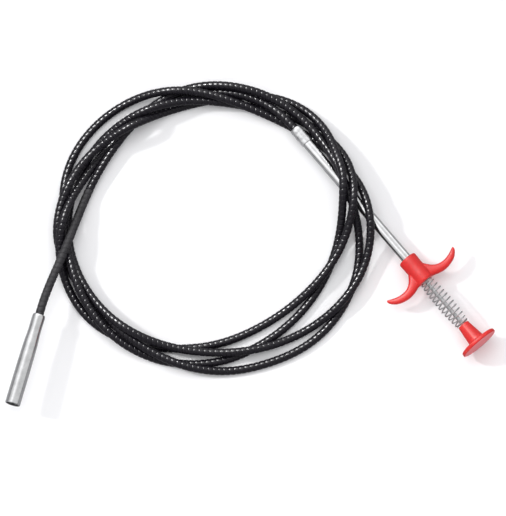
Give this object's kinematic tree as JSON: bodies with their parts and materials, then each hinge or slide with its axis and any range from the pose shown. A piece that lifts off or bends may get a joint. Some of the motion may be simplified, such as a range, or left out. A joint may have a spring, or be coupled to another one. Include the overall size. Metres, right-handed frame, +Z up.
{
  "type": "drain auger",
  "caption": "Flexible drain cleaning tool: coiled spring-wound hose with a plunger handle at one end and a steel tip tube holding sliding wire claws at the other.",
  "frame": {"origin": "on the floor plane, under the middle of the object's bounding box", "axes": "+Z up from the surface it lies on; +X along the longest extent, from the tip tube's side towards the thumb cap; +Y towards the top of the coil"},
  "size_m": [0.3702, 0.2536, 0.0308],
  "materials": {
    "red_plastic": "moulded semi-gloss red plastic",
    "polished_steel": "bright plated steel tube with fine drawing lines",
    "spring_wire": "bright spring wire",
    "zinc_steel": "zinc-plated steel, slightly mottled",
    "black_hose": "black coated spring strip, close wound, semi-gloss",
    "white_nylon": "natural nylon"
  },
  "bodies": {
    "tool_body": {"hose_coil": "black_hose", "inner_cable": "zinc_steel", "hose_ferrule": "zinc_steel", "handle_tube": "polished_steel", "tube_end_bush": "white_nylon", "finger_grip": "red_plastic", "return_spring": "spring_wire"},
    "plunger": {"thumb_cap": "red_plastic", "plunger_rod": "polished_steel", "rod_crimp": "zinc_steel", "plunger_cable": "zinc_steel"},
    "hose_link": {"hose_link": "black_hose"},
    "tip": {"hose_end": "black_hose", "tip_tube": "polished_steel"},
    "claw_carriage": {"claw_hub": "zinc_steel", "claw_crimp_ring": "zinc_steel", "claw_cable": "zinc_steel"},
    "claw_1": {"claw_1": "spring_wire"},
    "claw_2": {"claw_2": "spring_wire"},
    "claw_3": {"claw_3": "spring_wire"},
    "claw_4": {"claw_4": "spring_wire"}
  },
  "joints": [
    {"name": "plunger_slide", "type": "slide", "parent": "tool_body", "child": "plunger", "axis": [-0.641, 0.7674, -0.0184], "range_m": [0, 0.022], "stiffness_N_per_m": 180, "deforming": ["return_spring"]},
    {"name": "hose_swing", "type": "hinge", "parent": "tool_body", "child": "hose_link", "pos_m": [-0.14993, -0.02705, 0.0193], "axis": [0, 0, 1], "range_deg": [-30, 30], "stiffness_Nm_per_rad": 0.4},
    {"name": "tip_lift", "type": "hinge", "parent": "hose_link", "child": "tip", "pos_m": [-0.1549, -0.04002, 0.02106], "axis": [-0.9427, 0.3337, 0], "range_deg": [-8, 45], "stiffness_Nm_per_rad": 0.4},
    {"name": "claw_slide", "type": "slide", "parent": "tip", "child": "claw_carriage", "axis": [-0.2759, -0.9604, 0.0376], "range_m": [0, 0.022]},
    {"name": "claw_1_spread", "type": "hinge", "parent": "claw_carriage", "child": "claw_1", "pos_m": [-0.17003, -0.09525, 0.02483], "axis": [-0.6723, 0.2208, 0.7066], "range_deg": [0, 11.1]},
    {"name": "claw_2_spread", "type": "hinge", "parent": "claw_carriage", "child": "claw_2", "pos_m": [-0.17187, -0.09472, 0.02483], "axis": [-0.6869, 0.1697, -0.7066], "range_deg": [0, 11.1]},
    {"name": "claw_3_spread", "type": "hinge", "parent": "claw_carriage", "child": "claw_3", "pos_m": [-0.17189, -0.09479, 0.02292], "axis": [0.6723, -0.2208, -0.7066], "range_deg": [0, 11.1]},
    {"name": "claw_4_spread", "type": "hinge", "parent": "claw_carriage", "child": "claw_4", "pos_m": [-0.17005, -0.09532, 0.02292], "axis": [0.6869, -0.1697, 0.7066], "range_deg": [0, 11.1]}
  ],
  "couplings": [
    {"joint": "claw_slide", "follows": "plunger_slide", "ratio": 1},
    {"joint": "claw_1_spread", "follows": "plunger_slide", "rad_per_m": 8.7266},
    {"joint": "claw_2_spread", "follows": "plunger_slide", "rad_per_m": 8.7266},
    {"joint": "claw_3_spread", "follows": "plunger_slide", "rad_per_m": 8.7266},
    {"joint": "claw_4_spread", "follows": "plunger_slide", "rad_per_m": 8.7266}
  ]
}
